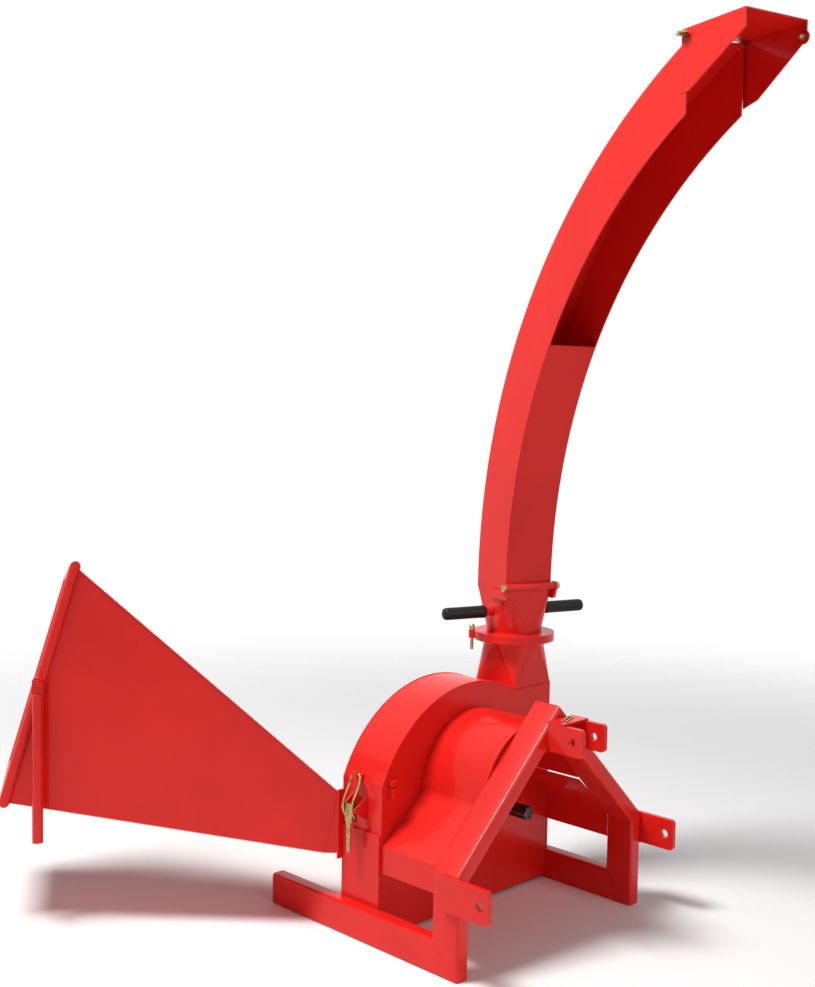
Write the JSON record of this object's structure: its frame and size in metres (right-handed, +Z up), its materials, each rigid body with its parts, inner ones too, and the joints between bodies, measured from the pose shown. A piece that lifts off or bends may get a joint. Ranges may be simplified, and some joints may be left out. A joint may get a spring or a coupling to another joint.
{
  "type": "wood chipper",
  "caption": "Tractor-mounted disc wood chipper with an A-frame hitch, slanted feed hopper and a tall curved discharge chute that swivels, folds and carries a tilting hood.",
  "frame": {"origin": "midway between the lower hitch holes, 204 mm above the ground", "axes": "+X to the right as the tractor driver sees it, +Y to the rear, +Z up"},
  "size_m": [1.3991, 1.8433, 2.121],
  "materials": {
    "red_paint": "glossy red powder coat",
    "gold_zinc": "yellow zinc plate",
    "dark_steel": "oiled steel",
    "tool_steel": "ground tool steel",
    "cast_grey": "cast iron",
    "grip_rubber": "matt black rubber"
  },
  "bodies": {
    "frame": {"left_skid": "red_paint", "right_skid": "red_paint", "left_post": "red_paint", "right_post": "red_paint", "left_frame_leg": "red_paint", "right_frame_leg": "red_paint", "lower_hitch_plates": "red_paint", "top_hitch_ears": "red_paint", "top_hitch_cap": "red_paint", "hitch_clip": "gold_zinc", "drive_guard": "red_paint", "lower_housing": "red_paint", "wall_doublers": "red_paint", "rotor_trough": "red_paint", "front_bearing": "cast_grey", "rear_bearing": "cast_grey", "bearing_bolts": "gold_zinc", "bed_knife": "tool_steel", "bed_knife_bolts": "gold_zinc", "housing_hinge": "red_paint", "latch_bracket": "red_paint", "hopper_throat": "red_paint", "hopper_near_panel": "red_paint", "hopper_far_panel": "red_paint", "hopper_floor": "red_paint", "hopper_roof": "red_paint", "hopper_rim": "red_paint", "bar_boss": "red_paint", "bar_bolt": "red_paint"},
    "rotor": {"rotor_shaft": "dark_steel", "rotor_disc": "dark_steel", "rotor_hub": "dark_steel", "hub_bolts": "gold_zinc", "knives": "tool_steel", "knife_bolts": "gold_zinc", "fan_paddles": "dark_steel"},
    "upper_housing": {"upper_housing": "red_paint", "housing_hinge_leaf": "red_paint", "latch_keeper": "red_paint", "spout_transition": "red_paint", "spout_flange": "red_paint"},
    "swivel": {"swivel_flange": "red_paint", "swivel_ring": "dark_steel", "chute_neck": "red_paint", "hinge_ears": "red_paint", "fold_bolt": "gold_zinc", "turning_bar": "red_paint", "handle_grips": "grip_rubber"},
    "lock_pin": {"lock_pin": "gold_zinc"},
    "chute": {"chute_back": "red_paint", "chute_left_wall": "red_paint", "chute_right_wall": "red_paint", "chute_belly": "red_paint", "fold_barrel": "red_paint", "hood_bolts": "gold_zinc"},
    "hood": {"chute_hood": "red_paint", "hood_corner_bolt": "gold_zinc"},
    "latch_lever": {"latch_lever": "gold_zinc"},
    "latch_bail": {"latch_bail": "gold_zinc"},
    "swing_bar": {"swing_bar": "red_paint"}
  },
  "joints": [
    {"name": "rotor_spin", "type": "hinge", "parent": "frame", "child": "rotor", "pos_m": [0, 0.073, 0.092], "axis": [0, 1, 0], "continuous": true},
    {"name": "housing_open", "type": "hinge", "parent": "frame", "child": "upper_housing", "pos_m": [0.336, 0.4285, 0.176], "axis": [0, 1, 0], "range_deg": [0, 75]},
    {"name": "chute_swivel", "type": "hinge", "parent": "upper_housing", "child": "swivel", "pos_m": [0.244, 0.4285, 0.479], "axis": [0, 0, 1], "continuous": true},
    {"name": "lock_pin_lift", "type": "slide", "parent": "swivel", "child": "lock_pin", "axis": [0, 0, 1], "range_m": [0, 0.05]},
    {"name": "chute_fold", "type": "hinge", "parent": "swivel", "child": "chute", "pos_m": [0.22274, 0.35626, 0.62], "axis": [0.9593, -0.2823, 0], "range_deg": [0, 80]},
    {"name": "hood_tilt", "type": "hinge", "parent": "chute", "child": "hood", "pos_m": [0.03676, -0.27564, 1.905], "axis": [0.9593, -0.2823, 0], "range_deg": [-10, 40]},
    {"name": "latch_throw", "type": "hinge", "parent": "frame", "child": "latch_lever", "pos_m": [-0.35, 0.438, 0.114], "axis": [0, 1, 0], "range_deg": [0, 90]},
    {"name": "bail_turn", "type": "hinge", "parent": "latch_lever", "child": "latch_bail", "pos_m": [-0.351, 0.438, 0.094], "axis": [0, 1, 0], "range_deg": [-75, 0]},
    {"name": "bar_swing", "type": "hinge", "parent": "frame", "child": "swing_bar", "pos_m": [-0.90366, 0.97666, 0.407], "axis": [0.7071, 0.7071, 0], "range_deg": [-100, 100]}
  ],
  "couplings": [
    {"joint": "bail_turn", "follows": "latch_throw", "ratio": -0.81}
  ]
}
